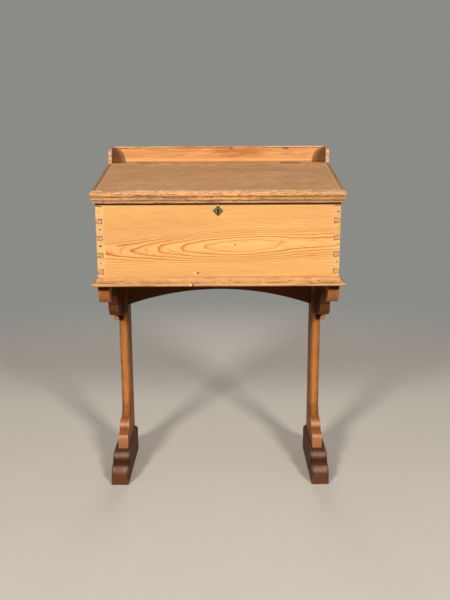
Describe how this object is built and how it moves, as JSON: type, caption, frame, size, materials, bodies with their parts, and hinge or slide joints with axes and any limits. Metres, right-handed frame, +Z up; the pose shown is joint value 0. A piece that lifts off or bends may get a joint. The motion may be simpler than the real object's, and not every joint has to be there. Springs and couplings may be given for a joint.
{
  "type": "school desk",
  "caption": "Upright pine school desk: a dovetailed box with a sloping hinged lid, lock and low back gallery, on shaped bracket standards with an arched rail between them.",
  "frame": {"origin": "on the floor, under the centre of the overall box", "axes": "+X along the front edge to the sitter's right, +Y from the sitter's side to the gallery, +Z up"},
  "size_m": [0.667, 0.406, 0.98],
  "materials": {
    "honey_pine": "waxed, honey coloured, with a bold plain-sawn figure",
    "worn_pine": "rubbed dull and brown by use",
    "amber_pine": "old varnish, amber",
    "dark_pine": "stained dark brown, scuffed",
    "raw_pine": "bare, dry, with plane and saw marks",
    "old_brass": "dulled, with polished edges",
    "iron": "dark, slightly rusted"
  },
  "bodies": {
    "desk": {"front_board": "honey_pine", "left_side": "honey_pine", "right_side": "honey_pine", "back_board": "raw_pine", "bottom_board_1": "raw_pine", "bottom_board_2": "raw_pine", "bottom_board_3": "raw_pine", "base_moulding_front": "honey_pine", "base_moulding_left": "honey_pine", "base_moulding_right": "honey_pine", "hinge_rail": "honey_pine", "rail_moulding_left": "honey_pine", "rail_moulding_right": "honey_pine", "gallery_rail": "amber_pine", "gallery_cheek_left": "amber_pine", "gallery_cheek_right": "amber_pine", "hinge_left_fixed_leaf": "iron", "hinge_left_pin": "iron", "hinge_right_fixed_leaf": "iron", "hinge_right_pin": "iron", "key_plate": "old_brass", "lock_case": "iron", "apron_rail": "amber_pine", "left_bearer": "amber_pine", "right_bearer": "amber_pine", "left_post": "amber_pine", "right_post": "amber_pine", "left_foot": "dark_pine", "right_foot": "dark_pine"},
    "lid": {"lid_panel": "worn_pine", "lid_moulding_front": "honey_pine", "lid_moulding_left": "honey_pine", "lid_moulding_right": "honey_pine", "hinge_left_lid_leaf": "iron", "hinge_right_lid_leaf": "iron", "strike_plate": "old_brass"},
    "bolt": {"lock_bolt": "old_brass"}
  },
  "joints": [
    {"name": "lid_hinge", "type": "hinge", "parent": "desk", "child": "lid", "pos_m": [0, 0.13, 0.932], "axis": [-1, 0, 0], "range_deg": [0, 104]},
    {"name": "bolt_throw", "type": "slide", "parent": "desk", "child": "bolt", "axis": [0, 0, 1], "range_m": [0, 0.008]}
  ]
}
